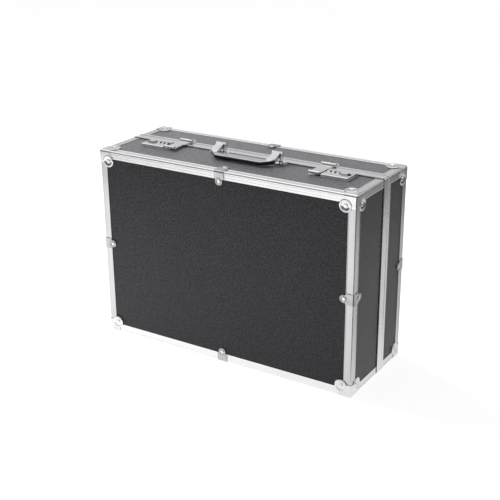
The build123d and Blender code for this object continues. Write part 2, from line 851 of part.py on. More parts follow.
with BuildPart() as hasp_plate:
    y_mid, y_size = span(hasp_leaf_y, hasp_plate_end_y)
    with BuildSketch(Plane.XY.offset(band_top_z)) as leaf_outline:
        with Locations((hasp_u, y_mid)):
            Rectangle(hasp_plate_length, y_size)
        fillet(leaf_outline.vertices().group_by(Axis.Y)[-1], hasp_plate_radius)
    extrude(amount=hasp_plate_thick)
    seat_y = band_end_y + end_gap
    with BuildSketch(Plane.XY.offset(panel_z)) as seat_outline:
        with Locations((hasp_u, (seat_y + hasp_plate_end_y) / 2)):
            Rectangle(hasp_plate_length, hasp_plate_end_y - seat_y)
        fillet(seat_outline.vertices().group_by(Axis.Y)[-1], hasp_plate_radius)
    extrude(amount=band_top_z - panel_z)
    for low, high in (
        (hasp_plate_low_u, hasp_low_u - hasp_side_gap),
        (hasp_high_u + hasp_side_gap, hasp_plate_high_u),
    ):
        add(board(low, high, hasp_pivot_y, hasp_leaf_y, band_top_z, hasp_leaf_top_z))
        add(rod(hasp_barrel_radius, low, high, hasp_pivot_y, hasp_pivot_z))
    add(
        rod(hasp_bore, hasp_plate_low_u, hasp_plate_high_u, hasp_pivot_y, hasp_pivot_z),
        mode=Mode.SUBTRACT,
    )
    with BuildSketch(Plane.XY.offset(panel_z)):
        with Locations(*hasp_rivet_points):
            Circle(rivet_shank_radius)
    extrude(amount=hasp_leaf_top_z - panel_z, mode=Mode.SUBTRACT)

hasp_pin = rod(hasp_pin_radius, hasp_plate_low_u, hasp_plate_high_u, hasp_pivot_y, hasp_pivot_z)

# Carrying handle
bracket_plate_top_z = panel_z + bracket_plate_thick
bracket_boss_top_z = bracket_plate_top_z + bracket_boss_height
bracket_middle_y = (bracket_plate_front_y + bracket_plate_back_y) / 2
bracket_half = bracket_inner_width / 2 + bracket_cheek
pivot_z = panel_z + pivot_rise
boss_points = [(bracket_u + s * bracket_boss_offset, bracket_middle_y) for s in (-1, 1)]

with BuildPart() as bracket:
    with BuildSketch(Plane.XY.offset(panel_z)):
        with Locations((bracket_u, bracket_middle_y)):
            RectangleRounded(
                bracket_plate_length,
                bracket_plate_back_y - bracket_plate_front_y,
                bracket_plate_radius,
            )
    extrude(amount=bracket_plate_thick)
    with BuildSketch(Plane.XY.offset(bracket_plate_top_z)):
        with Locations(*boss_points):
            Circle(bracket_boss_radius)
    extrude(amount=bracket_boss_height)
    boss_rims = bracket.faces().filter_by(Axis.Z).group_by(Axis.Z)[-1].edges()
    fillet(boss_rims, bracket_boss_height / 3)
    for cheek_low_u in (bracket_u - bracket_half, bracket_u + bracket_half - bracket_cheek):
        with BuildSketch(Plane.YZ.offset(cheek_low_u)):
            with BuildLine():
                Polyline(
                    (bracket_plate_front_y + bracket_cheek, bracket_plate_top_z),
                    (bracket_plate_back_y, bracket_plate_top_z),
                    (pivot_y + hub_radius, pivot_z - hub_radius / 3),
                    (pivot_y, pivot_z),
                    (pivot_y - hub_radius, pivot_z + hub_radius / 4),
                    close=True,
                )
            make_face()
            with Locations((pivot_y, pivot_z)):
                Circle(hub_radius)
        extrude(amount=bracket_cheek)
    add(
        rod(handle_pin_radius, bracket_u - bracket_half, bracket_u + bracket_half, pivot_y, pivot_z),
        mode=Mode.SUBTRACT,
    )
    with BuildSketch(Plane.XY.offset(panel_z)):
        with Locations(*boss_points):
            Circle(rivet_shank_radius)
    extrude(amount=bracket_boss_top_z - panel_z, mode=Mode.SUBTRACT)

pin_half = bracket_half + handle_pin_overhang
handle_pin = rod(handle_pin_radius, bracket_u - pin_half, bracket_u + pin_half, pivot_y, pivot_z)

arm_outer = bracket_u + bail_arm_width / 2
arm_inner = bracket_u - bail_arm_width / 2
grip_back_y = bail_front_y + bail_grip_width
bail_low_z = panel_z + bail_lift
bail_top_z = bail_low_z + bail_thick
arm_low_z = bail_low_z + bail_arm_low


def bail_arm():
    """Return the right-hand arm, rising from the grip to its eye."""
    with BuildPart() as arm:
        with BuildSketch(Plane.YZ.offset(arm_inner)):
            with BuildLine():
                Polyline(
                    (bail_rise_y, arm_low_z),
                    (bail_rise_y, bail_top_z),
                    (pivot_y - hub_radius * 0.4, pivot_z + hub_radius * 0.917),
                    (pivot_y, pivot_z),
                    (pivot_y - hub_radius * 0.1, pivot_z - hub_radius * 0.8),
                    (grip_back_y, arm_low_z),
                    close=True,
                )
            make_face()
        extrude(amount=bail_arm_width)
        with BuildSketch(Plane.XY.offset(bail_low_z)):
            with BuildLine():
                Polyline(
                    (0, bail_front_y),
                    (bail_front_half, bail_front_y),
                    (arm_outer, grip_back_y),
                    (arm_outer, pivot_y),
                    (0, pivot_y),
                    close=True,
                )
            make_face()
        extrude(amount=pivot_rise + hub_radius, mode=Mode.INTERSECT)
        eye_half = bracket_inner_width / 2 - bail_side_gap
        add(rod(hub_radius, bracket_u - eye_half, bracket_u + eye_half, pivot_y, pivot_z))
    return arm.part


with BuildPart() as handle_bail:
    half_outline = [(bail_front_half, bail_front_y), (arm_outer, grip_back_y)]
    other_half = [(-x, y) for x, y in reversed(half_outline)]
    with BuildSketch(Plane.XY.offset(bail_low_z)):
        with BuildLine():
            Polyline(*half_outline, *other_half, close=True)
        make_face()
    extrude(amount=bail_thick)
    top_edges = handle_bail.faces().sort_by(Axis.Z)[-1].edges().sort_by(Axis.Y)
    low_edges = handle_bail.faces().sort_by(Axis.Z)[0].edges().sort_by(Axis.Y)
    chamfer(top_edges[:-1], bail_bevel)
    chamfer(low_edges[:-1], bail_under_bevel)
    back_edges = handle_bail.faces().sort_by(Axis.Y)[-1].edges().filter_by(Axis.X)
    fillet(back_edges, bail_back_round)
    add(bail_arm())
    add(bail_arm().mirror(Plane.YZ))
    bore = handle_pin_radius + running_gap
    add(rod(bore, -case_length / 2, case_length / 2, pivot_y, pivot_z), mode=Mode.SUBTRACT)
save(handle_bail.part, "handle_bail")

for name, mirrored in (("right", False), ("left", True)):
    pieces = {
        f"lock_plate_{name}": lock_plate.part,
        f"lock_cover_{name}": lock_cover.part,
        f"lock_button_{name}": slide_button.part,
        f"hasp_{name}": hasp.part,
        f"hasp_plate_{name}": hasp_plate.part,
    }
    for i, dial_part in enumerate(dials):
        pieces[f"lock_dial_{name}_{i + 1}"] = dial_part
    for piece_name, piece in pieces.items():
        save(piece.mirror(Plane.YZ) if mirrored else piece, piece_name)

for name, piece in (
    ("dial_axles", dial_axle.part),
    ("hasp_pins", hasp_pin),
    ("handle_pins", handle_pin),
    ("handle_brackets", bracket.part),
):
    with BuildPart() as pair:
        add(piece)
        add(piece.mirror(Plane.YZ))
    save(pair.part, name)

# Rivets
bracket_rivets = [
    rivet((side * u, y, bracket_boss_top_z), (0, 0, 1), bracket_boss_top_z - panel_z)
    for side in (-1, 1)
    for u, y in boss_points
]
hasp_plate_rivets = [
    rivet((side * u, y, hasp_leaf_top_z), (0, 0, 1), hasp_leaf_top_z - panel_z)
    for side in (-1, 1)
    for u, y in hasp_rivet_points
]

with BuildPart() as base_rivets:
    add(cap_rivets(-1) + clip_rivets(-1) + hinge_rivets(-1) + bracket_rivets)
save(base_rivets.part, "base_rivets")

with BuildPart() as lid_rivets:
    add(cap_rivets(1) + clip_rivets(1) + hinge_rivets(1) + hasp_plate_rivets)
save(lid_rivets.part, "lid_rivets")

# Foam in the base: floor, side liners, lane dividers and loose spacers
foam_x = inner_x - foam_gap
foam_low_z = inner_low_z + foam_gap
foam_high_z = inner_top_z - foam_gap
lane_x = foam_x - liner_thick
lane_low_z = foam_low_z + liner_thick
lane_high_z = foam_high_z - liner_thick
floor_y = -inner_y + floor_pad_thick
base_liner_end_y = foot_y - foam_gap
base_rail_end_y = base_rail_y - foam_gap
lane_pitch = (lane_high_z - lane_low_z + lane_divider_thick) / lane_count
lane_width = lane_pitch - lane_divider_thick

with BuildPart() as base_floor_pad:
    add(board(-foam_x, foam_x, -inner_y, floor_y, foam_low_z, foam_high_z))
save(base_floor_pad.part, "base_floor_pad")

with BuildPart() as base_side_liners:
    add(board(-foam_x, foam_x, floor_y, base_liner_end_y, lane_high_z, foam_high_z))
    add(lock_cuts, mode=Mode.SUBTRACT)
    add(board(-foam_x, foam_x, floor_y, base_rail_end_y, foam_low_z, lane_low_z))
    for x_low, x_high in ((-foam_x, -lane_x), (lane_x, foam_x)):
        end_z = (lane_low_z + foam_gap, lane_high_z - foam_gap)
        add(board(x_low, x_high, floor_y, base_liner_end_y, *end_z))
save(base_side_liners.part, "base_side_liners")

with BuildPart() as lane_dividers:
    divider_end_y = base_rim_y - lane_divider_drop
    for i in range(1, lane_count):
        z_low = lane_low_z + i * lane_pitch - lane_divider_thick
        z_high = z_low + lane_divider_thick
        add(board(-lane_x, lane_x, floor_y, divider_end_y, z_low, z_high))
save(lane_dividers.part, "lane_dividers")

with BuildPart() as lane_spacers:
    spacer_end_y = base_rim_y - spacer_drop
    for i in range(lane_count):
        z_low = lane_low_z + i * lane_pitch + foam_gap
        z_high = z_low + lane_width - 2 * foam_gap
        for x in spacer_x:
            half = spacer_thick / 2
            add(board(x - half, x + half, floor_y, spacer_end_y, z_low, z_high))
save(lane_spacers.part, "lane_spacers")

# Foam in the lid: egg-crate pad and side liners
pad_y = inner_y - lid_pad_thick
lid_liner_y = lid_rim_y + lid_liner_start
lid_rail_end_y = lid_rail_y + foam_gap

with BuildPart() as lid_foam_pad:
    add(board(-foam_x, foam_x, pad_y, inner_y, foam_low_z, foam_high_z))
save(lid_foam_pad.part, "lid_foam_pad")

with BuildPart() as lid_side_liners:
    add(board(-foam_x, foam_x, lid_liner_y, pad_y, lane_high_z, foam_high_z))
    add(board(-foam_x, foam_x, lid_rail_end_y, pad_y, foam_low_z, lane_low_z))
    for x_low, x_high in ((-foam_x, -lane_x), (lane_x, foam_x)):
        end_z = (lane_low_z + foam_gap, lane_high_z - foam_gap)
        add(board(x_low, x_high, lid_liner_y, pad_y, *end_z))
save(lid_side_liners.part, "lid_side_liners")
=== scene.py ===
import logging
import math
from collections.abc import Sequence
from dataclasses import dataclass, field, replace
from enum import Enum
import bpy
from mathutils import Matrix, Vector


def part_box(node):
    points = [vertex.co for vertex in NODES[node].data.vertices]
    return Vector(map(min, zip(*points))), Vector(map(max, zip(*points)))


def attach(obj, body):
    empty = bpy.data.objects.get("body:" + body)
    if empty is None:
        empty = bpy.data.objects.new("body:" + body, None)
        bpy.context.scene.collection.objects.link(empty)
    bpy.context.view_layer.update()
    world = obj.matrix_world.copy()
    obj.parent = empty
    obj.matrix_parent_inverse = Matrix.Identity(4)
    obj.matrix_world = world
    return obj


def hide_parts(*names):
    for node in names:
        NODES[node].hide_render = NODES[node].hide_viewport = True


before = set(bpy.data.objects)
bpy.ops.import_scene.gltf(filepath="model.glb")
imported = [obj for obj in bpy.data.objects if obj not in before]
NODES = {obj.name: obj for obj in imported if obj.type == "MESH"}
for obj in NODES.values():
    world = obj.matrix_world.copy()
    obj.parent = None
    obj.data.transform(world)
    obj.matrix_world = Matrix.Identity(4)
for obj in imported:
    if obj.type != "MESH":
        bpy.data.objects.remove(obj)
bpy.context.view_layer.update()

from fnmatch import fnmatchcase

import bmesh
import bpy
from mathutils import Matrix, Vector

MM = 0.001
WHITE = (1.0, 1.0, 1.0, 1.0)
FULL_TURN = 2 * math.pi
WAVE_RADIANS = 20.0  # A wave texture turns by this much for each unit of its scale.
TOUCHING = 1e-6  # Points closer than this, in metres, are one point.
log = logging.getLogger("card_case")


class Run(Enum):
    """The direction that a bar runs in, with its drawing lines' stretch."""

    LENGTH = (0.02, 1.0, 1.0)
    DEPTH = (1.0, 0.02, 1.0)
    HEIGHT = (1.0, 1.0, 0.02)
    ROUND = (0.1, 1.0, 0.1)

    @property
    def across(self) -> tuple:
        """The axes that the bar's ribs are spaced along."""
        return {
            Run.LENGTH: ("Y", "Z"),
            Run.DEPTH: ("X", "Z"),
            Run.HEIGHT: ("X", "Y"),
            Run.ROUND: ("Y",),
        }[self]

    @property
    def brightness(self) -> float:
        """Return the share of the bar's colour that paints its light: a bar along the light is
        painted lighter, a cross-lit bar greyer.
        """
        return {Run.LENGTH: 0.91, Run.DEPTH: 0.80, Run.HEIGHT: 0.66, Run.ROUND: 0.87}[self]


class Side(Enum):
    """The left or the right lock."""

    LEFT = -1
    RIGHT = 1


class Field:
    """A shader socket that takes part in Python arithmetic."""

    def __init__(self, graph: "Graph", socket: bpy.types.NodeSocket) -> None:
        """Keep the graph and the output socket.

        Args:
            graph: The graph that the socket belongs to.
            socket: The output socket that gives the value.
        """
        self.graph = graph
        self.socket = socket

    def _math(self, operation: str, first: object, second: object) -> "Field":
        """Add one Math node.

        Args:
            operation: The node's operation.
            first: The first value or field.
            second: The second value or field.

        Returns:
            The node's result.
        """
        return self.graph.add("ShaderNodeMath", {"operation": operation}, {0: first, 1: second})

    def __add__(self, other: object) -> "Field":
        """Return the sum."""
        return self._math("ADD", self, other)

    def __radd__(self, other: object) -> "Field":
        """Return the sum with the field on the right."""
        return self._math("ADD", other, self)

    def __sub__(self, other: object) -> "Field":
        """Return the difference."""
        return self._math("SUBTRACT", self, other)

    def __rsub__(self, other: object) -> "Field":
        """Return the difference with the field on the right."""
        return self._math("SUBTRACT", other, self)

    def __mul__(self, other: object) -> "Field":
        """Return the product."""
        return self._math("MULTIPLY", self, other)

    def __rmul__(self, other: object) -> "Field":
        """Return the product with the field on the right."""
        return self._math("MULTIPLY", other, self)

    def magnitude(self) -> "Field":
        """Return the value without its sign."""
        return self._math("ABSOLUTE", self, 0.0)

    def at_least(self, low: object) -> "Field":
        """Return the value, no lower than a limit."""
        return self._math("MAXIMUM", self, low)

    def at_most(self, high: float) -> "Field":
        """Return the value, no higher than a limit."""
        return self._math("MINIMUM", self, high)


class Graph:
    """A node tree, built by one node-making method."""

    def __init__(self, owner: bpy.types.ID) -> None:
        """Start an empty tree.

        Args:
            owner: The material or world that holds the tree.
        """
        owner.use_nodes = True
        self.owner = owner
        self.tree = owner.node_tree
        self.tree.nodes.clear()

    @classmethod
    def material(cls, name: str) -> "Graph":
        """Start a new material's graph."""
        return cls(bpy.data.materials.new(name))

    def add(self, kind: str, settings: dict, sockets: dict, output: object = 0) -> Field:
        """Add one node, set it and connect it.

        Args:
            kind: The node's type.
            settings: Its own settings, and a ramp's stops under "stops".
            sockets: Values or fields by input name or number.
            output: The name or number of the output to return.

        Returns:
            The chosen output as a field.
        """
        node = self.tree.nodes.new(kind)
        for key, value in settings.items():
            if key == "stops":
                self._set_stops(node, value)
            else:
                setattr(node, key, value)
        for key, value in sockets.items():
            if isinstance(value, Field):
                self.tree.links.new(value.socket, node.inputs[key])
            else:
                node.inputs[key].default_value = value
        return Field(self, node.outputs[output] if node.outputs else None)

    @staticmethod
    def _set_stops(node: bpy.types.Node, stops: Sequence) -> None:
        """Give a colour ramp its stops.

        Args:
            node: The ramp node.
            stops: Pairs of position and grey level.
        """
        elements = node.color_ramp.elements
        while len(elements) < len(stops):
            elements.new(1.0)
        for element, (position, level) in zip(elements, stops):
            element.position = position
            element.color = (level, level, level, 1.0)

    def place(self, scale: tuple = (1.0, 1.0, 1.0)) -> Field:
        """Return object coordinates stretched by a scale.

        Args:
            scale: The scale along X, Y and Z.

        Returns:
            The coordinates.
        """
        point = self.add("ShaderNodeTexCoord", {}, {}, "Object")
        return self.add("ShaderNodeMapping", {}, {"Vector": point, "Scale": scale})

    def noise(self, point: Field, scale: float, detail: float = 2.0) -> Field:
        """Return noise between 0 and 1.

        Args:
            point: The coordinates to read.
            scale: Features per metre.
            detail: The number of octaves.

        Returns:
            The noise value.
        """
        sockets = {"Vector": point, "Scale": scale, "Detail": detail}
        return self.add("ShaderNodeTexNoise", {}, sockets, 0)

    def ramp(self, value: Field, stops: Sequence) -> Field:
        """Pass a value through a ramp of grey levels.

        Args:
            value: The value, from 0 to 1.
            stops: Pairs of position and grey level.

        Returns:
            The grey level.
        """
        return self.add("ShaderNodeValToRGB", {"stops": stops}, {"Fac": value})

    def blend(self, mask: Field, first: object, second: object) -> Field:
        """Mix two colours by a mask.

        Args:
            mask: The share of the second colour.
            first: The first colour.
            second: The second colour.

        Returns:
            The mixed colour.
        """
        settings = {"data_type": "RGBA"}
        return self.add("ShaderNodeMix", settings, {0: mask, 6: first, 7: second}, 2)

    def ray(self, kind: str) -> Field:
        """Return 1 for the rays of one kind and 0 for all others."""
        return self.add("ShaderNodeLightPath", {}, {}, kind)

    def bump(self, height: Field, strength: float, distance: float) -> Field:
        """Return a normal raised by a height field.

        Args:
            height: The height field.
            strength: The share of the effect.
            distance: The height in metres.

        Returns:
            The bumped normal.
        """
        sockets = {"Height": height, "Strength": strength, "Distance": distance}
        return self.add("ShaderNodeBump", {}, sockets)

    def surface(self, sockets: dict) -> bpy.types.Material:
        """Close the graph with one principled shader.

        Args:
            sockets: Values or fields by the shader's input name.

        Returns:
            The finished material.
        """
        shader = self.add("ShaderNodeBsdfPrincipled", {}, sockets)
        self.add("ShaderNodeOutputMaterial", {}, {"Surface": shader})
        return self.owner


@dataclass(frozen=True)
class PebbleLaminate:
    """Black laminate with a fine pebble grain, on the boards."""

    colour: tuple = (0.002, 0.002, 0.004, 1.0)
    worn_colour: tuple = (0.025, 0.025, 0.033, 1.0)
    cells_per_metre: float = 560.0
    warps_per_metre: float = 260.0
    warp_reach: float = 2.6 * MM
    mottles_per_metre: float = 310.0
    specks_per_metre: float = 2400.0
    clouds_per_metre: float = 9.0
    grain_height: float = 0.16 * MM
    grain_strength: float = 0.7
    roughness: float = 0.36
    sheen: float = 0.42
    sheen_roughness: float = 0.32
    reflectivity: float = 0.38

    def material(self) -> bpy.types.Material:
        """Return the laminate's material."""
        g = Graph.material("pebble_laminate")
        point = g.place()
        warp_sockets = {"Vector": point, "Scale": self.warps_per_metre, "Detail": 2.0}
        warp = g.add("ShaderNodeTexNoise", {}, warp_sockets, 1)
        mottle = g.ramp(g.noise(point, self.mottles_per_metre, 3.0), [(0.40, 0.0), (0.64, 1.0)])
        bent = g.add(
            "ShaderNodeVectorMath",
            {"operation": "MULTIPLY_ADD"},
            {0: warp, 1: (self.warp_reach,) * 3, 2: point},
        )
        cells = g.add(
            "ShaderNodeTexVoronoi",
            {"feature": "SMOOTH_F1"},
            {"Vector": bent, "Scale": self.cells_per_metre, "Smoothness": 0.4},
            "Distance",
        )
        fine = g.noise(point, self.specks_per_metre, 3.0)
        cloud = g.noise(point, self.clouds_per_metre, 3.0)
        height = 1.0 - cells + fine * 0.2 + mottle * 0.8
        crease = g.ramp(cells, [(0.25, 0.0), (0.75, 1.0)])
        speck = g.ramp(fine, [(0.5, 0.0), (0.8, 1.0)])
        rough = self.roughness + crease * 0.10 + (cloud - 0.5) * 0.08 - mottle * 0.10
        return g.surface(
            {
                "Base Color": g.blend(speck * 0.3 + mottle * 0.7, self.colour, self.worn_colour),
                "Roughness": rough,
                "IOR": 1.5,
                "Specular IOR Level": self.reflectivity,
                "Sheen Weight": self.sheen,
                "Sheen Roughness": self.sheen_roughness,
                "Normal": g.bump(height, self.grain_strength, self.grain_height),
            }
        )


@dataclass(frozen=True)
class SatinAluminium:
    """Anodised aluminium extrusion with faint drawing lines, its colour painted lighter or darker
    by the bar's direction.
    """

    run: Run
    tint: tuple = (0.988, 0.988, 1.0)
    dulling: float = 0.90
    roughness: float = 0.24
    lines_per_metre: float = 1500.0
    line_height: float = 0.02 * MM
    patches_per_metre: float = 22.0
    rib_pitch: float = 4.8 * MM
    rib_depth: float = 0.045 * MM
    rib_strength: float = 0.8
    edges: tuple = (("X", 250.0 * MM), ("Y", -92.0 * MM), ("Z", 347.95 * MM))

    def ribs(self, g: Graph, axis: str) -> Field:
        """Return shallow grooves, counted from the case's outer edge.

        Args:
            g: The graph that receives the nodes.
            axis: The axis that the grooves are spaced along.

        Returns:
            The height, 0 in a groove and 1 between grooves.
        """
        radians_per_metre = FULL_TURN / self.rib_pitch
        phase = -(dict(self.edges)[axis] * radians_per_metre) % FULL_TURN
        settings = {"wave_type": "BANDS", "bands_direction": axis, "wave_profile": "SIN"}
        scale = radians_per_metre / WAVE_RADIANS
        sockets = {"Vector": g.place(), "Scale": scale, "Phase Offset": phase}
        wave = g.add("ShaderNodeTexWave", settings, sockets, "Fac")
        return g.ramp(wave, [(0.02, 0.0), (0.2, 1.0)])

    def colour(self, share: float) -> tuple:
        """Return the bar's colour at a share of its painted light, which is set by the bar's
        direction.
        """
        return (*(part * share * self.run.brightness for part in self.tint), 1.0)

    def material(self) -> bpy.types.Material:
        """Return the aluminium's material."""
        g = Graph.material(f"satin_aluminium_{self.run.name.lower()}")
        lines = g.noise(g.place(self.run.value), self.lines_per_metre)
        cloud = g.noise(g.place(), self.patches_per_metre, 4.0)
        patch = g.ramp(cloud, [(0.4, 0.0), (0.75, 1.0)])
        rough = self.roughness + (lines - 0.5) * 0.10 + patch * 0.04
        relief = lines * (self.line_height / self.rib_depth)
        for axis in self.run.across:
            relief = relief + self.ribs(g, axis)
        return g.surface(
            {
                # The base colour carries the painted light of the bar's direction.
                "Base Color": g.blend(patch * 0.4, self.colour(1.0), self.colour(self.dulling)),
                "Metallic": 1.0,
                "Roughness": rough,
                "Normal": g.bump(relief, self.rib_strength, self.rib_depth),
            }
        )


@dataclass(frozen=True)
class BrightPlate:
    """Bright plating on pressed steel, a little hazed by handling."""

    name: str = "chrome_plate"
    colour: tuple = (0.82, 0.825, 0.84, 1.0)
    haze_colour: tuple = (0.70, 0.70, 0.71, 1.0)
    roughness: float = 0.06
    haze: float = 0.10
    patches_per_metre: float = 60.0
    ripples_per_metre: float = 420.0
    ripple_height: float = 0.08 * MM
    ripple_strength: float = 0.12

    def sockets(self, g: Graph) -> dict:
        """Return what the plating's shader is given.

        Args:
            g: The graph that receives the nodes.

        Returns:
            Values or fields by the shader's input name.
        """
        point = g.place()
        ripple = g.noise(point, self.ripples_per_metre)
        cloud = g.noise(point, self.patches_per_metre, 4.0)
        haze = g.ramp(cloud, [(0.42, 0.0), (0.8, 1.0)])
        return {
            "Base Color": g.blend(haze, self.colour, self.haze_colour),
            "Metallic": 1.0,
            "Roughness": self.roughness + haze * self.haze,
            "Normal": g.bump(ripple, self.ripple_strength, self.ripple_height),
        }

    def material(self) -> bpy.types.Material:
        """Return the plating's material."""
        g = Graph.material(self.name)
        return g.surface(self.sockets(g))


@dataclass(frozen=True)
class LacqueredPlate(BrightPlate):
    """Bright plating with painted shade: a black band between two heights, standing for the shade
    in a lock's well and the dark reflection on the grip's front.
    """

    # Painted shade: the band's black colour and roughness, and the heights between which it is
    # painted.
    lacquer: tuple = (0.012, 0.012, 0.012, 1.0)
    lacquer_roughness: float = 0.5
    lacquer_low: float = 0.0
    # The case's face height: the lock plates are painted black below it.
    lacquer_high: float = 346.5 * MM

    @staticmethod
    def step(g: Graph, height: Field) -> Field:
        """Return 0 below a height of nought and 1 above it.

        Args:
            g: The graph that receives the nodes.
            height: The height in metres.

        Returns:
            The step, softened over less than a millimetre.
        """
        return g.ramp(height * (1 / MM) + 0.5, [(0.3, 0.0), (0.7, 1.0)])

    def sockets(self, g: Graph) -> dict:
        """Return what the shader is given, with the painted shade band over the plating.

        Args:
            g: The graph that receives the nodes.

        Returns:
            Values or fields by the shader's input name.
        """
        bare = super().sockets(g)
        height = g.add("ShaderNodeSeparateXYZ", {}, {"Vector": g.place()}, "Z")
        # Painted shade: below the upper height and above the lower one the plating is painted
        # black.
        over = self.step(g, height - self.lacquer_high)
        plated = over.at_least(self.step(g, self.lacquer_low - height))
        dulling = (1.0 - plated) * (self.lacquer_roughness - self.roughness)
        return {
            **bare,
            "Base Color": g.blend(plated, self.lacquer, bare["Base Color"]),
            "Metallic": plated,
            "Roughness": bare["Roughness"] + dulling,
        }


@dataclass(frozen=True)
class CaseFoam:
    """Charcoal foam with open pores."""

    name: str = "case_foam"
    colour: tuple = (0.030, 0.030, 0.032, 1.0)
    pore_colour: tuple = (0.008, 0.008, 0.009, 1.0)
    pores_per_metre: float = 900.0
    pore_depth: float = 0.4 * MM
    pore_strength: float = 0.7
    clouds_per_metre: float = 35.0

    def material(self) -> bpy.types.Material:
        """Return the foam's material."""
        g = Graph.material(self.name)
        point = g.place()
        pores = g.add(
            "ShaderNodeTexVoronoi",
            {"feature": "F1"},
            {"Vector": point, "Scale": self.pores_per_metre},
            "Distance",
        )
        cloud = g.noise(point, self.clouds_per_metre, 3.0)
        pit = g.ramp(pores, [(0.15, 1.0), (0.45, 0.0)])
        return g.surface(
            {
                "Base Color": g.blend(pit, self.colour, self.pore_colour),
                "Roughness": 0.88 + (cloud - 0.5) * 0.15,
                "Specular IOR Level": 0.25,
                "Normal": g.bump(pores + cloud * 0.4, self.pore_strength, self.pore_depth),
            }
        )


@dataclass(frozen=True)
class DigitPaint:
    """Black filling paint in the numbers of the dials."""

    colour: tuple = (0.010, 0.010, 0.011, 1.0)
    thin_colour: tuple = (0.05, 0.05, 0.052, 1.0)
    flecks_per_metre: float = 1800.0
    fleck_height: float = 0.02 * MM
    fleck_strength: float = 0.3

    def material(self) -> bpy.types.Material:
        """Return the paint's material."""
        g = Graph.material("digit_paint")
        fleck = g.noise(g.place(), self.flecks_per_metre, 3.0)
        thin = g.ramp(fleck, [(0.55, 0.0), (0.75, 1.0)])
        return g.surface(
            {
                "Base Color": g.blend(thin, self.colour, self.thin_colour),
                "Roughness": 0.45 + thin * 0.2,
                "Normal": g.bump(fleck, self.fleck_strength, self.fleck_height),
            }
        )


def dress(node: str, material: bpy.types.Material) -> None:
    """Give a CAD node a material.

    Args:
        node: The node's name.
        material: The material for all its slots.
    """
    obj = NODES[node]
    if not obj.material_slots:
        obj.data.materials.append(material)
    for slot in obj.material_slots:
        slot.link = "OBJECT"
        slot.material = material
    log.info("dressed %s with %s", node, material.name)


def make_piece(
    name: str,
    bm: bmesh.types.BMesh,
    material: bpy.types.Material,
    body: str,
) -> bpy.types.Object:
    """Turn a bmesh into a piece that rides on a body.

    Args:
        name: The piece's name.
        bm: The shape, which is freed.
        material: The piece's material.
        body: The body that carries it.

    Returns:
        The piece.
    """
    bmesh.ops.recalc_face_normals(bm, faces=bm.faces)
    mesh = bpy.data.meshes.new(name)
    bm.to_mesh(mesh)
    bm.free()
    mesh.materials.append(material)
    piece = bpy.data.objects.new(name, mesh)
    bpy.context.scene.collection.objects.link(piece)
    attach(piece, body)
    log.info("built %s with %d faces on %s", name, len(mesh.polygons), body)
    return piece


def add_block(bm: bmesh.types.BMesh, low: Vector, high: Vector, round_by: float) -> None:
    """Add one soft-edged block between two corners.

    Args:
        bm: The bmesh that receives the block.
        low: The lowest corner.
        high: The highest corner.
        round_by: The rounding of its edges.
    """
    size = high - low
    made = bmesh.ops.create_cube(bm, size=1.0)["verts"]
    bmesh.ops.scale(bm, vec=size, verts=made)
    bmesh.ops.translate(bm, vec=(low + high) / 2, verts=made)
    edges = list({edge for vert in made for edge in vert.link_edges})
    bmesh.ops.bevel(
        bm, geom=edges, offset=round_by, segments=3, profile=0.5, affect="EDGES", material=-1
    )


